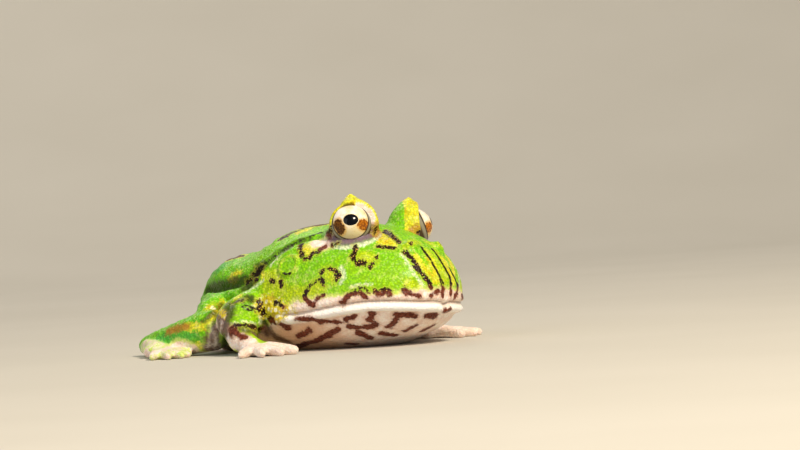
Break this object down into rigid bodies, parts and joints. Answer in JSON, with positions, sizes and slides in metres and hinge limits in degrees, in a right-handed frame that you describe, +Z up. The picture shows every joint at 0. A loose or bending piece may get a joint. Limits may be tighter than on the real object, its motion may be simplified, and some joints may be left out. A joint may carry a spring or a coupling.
{
  "type": "argentine horned frog",
  "caption": "Life-size still model of a young argentine horned frog resting on its belly, wide mouth shut, hands spread in front and hind legs folded at its sides.",
  "frame": {"origin": "middle of the belly's resting flat, level with the floor", "axes": "+Z up, -Y forward out of the mouth, +X to the frog's left"},
  "size_m": [0.057, 0.0573, 0.0267],
  "materials": {
    "green_skin": "moist granular skin, bright green with brown dark-edged strokes",
    "pale_skin": "moist cream skin of the throat and hands, with brown strokes",
    "eye": "wet clear eye with a cream and rust iris and a black pupil"
  },
  "bodies": {
    "root": {"head": "green_skin", "lower_jaw": "pale_skin", "torso": "green_skin", "eye_left": "eye", "eye_right": "eye", "eyelid_left": "green_skin", "eyelid_right": "green_skin", "upper_arm_left": "green_skin", "forearm_left": "green_skin", "hand_left": "pale_skin", "thigh_left": "green_skin", "shank_left": "green_skin", "foot_left": "green_skin", "upper_arm_right": "green_skin", "forearm_right": "green_skin", "hand_right": "pale_skin", "thigh_right": "green_skin", "shank_right": "green_skin", "foot_right": "green_skin"}
  },
  "joints": []
}
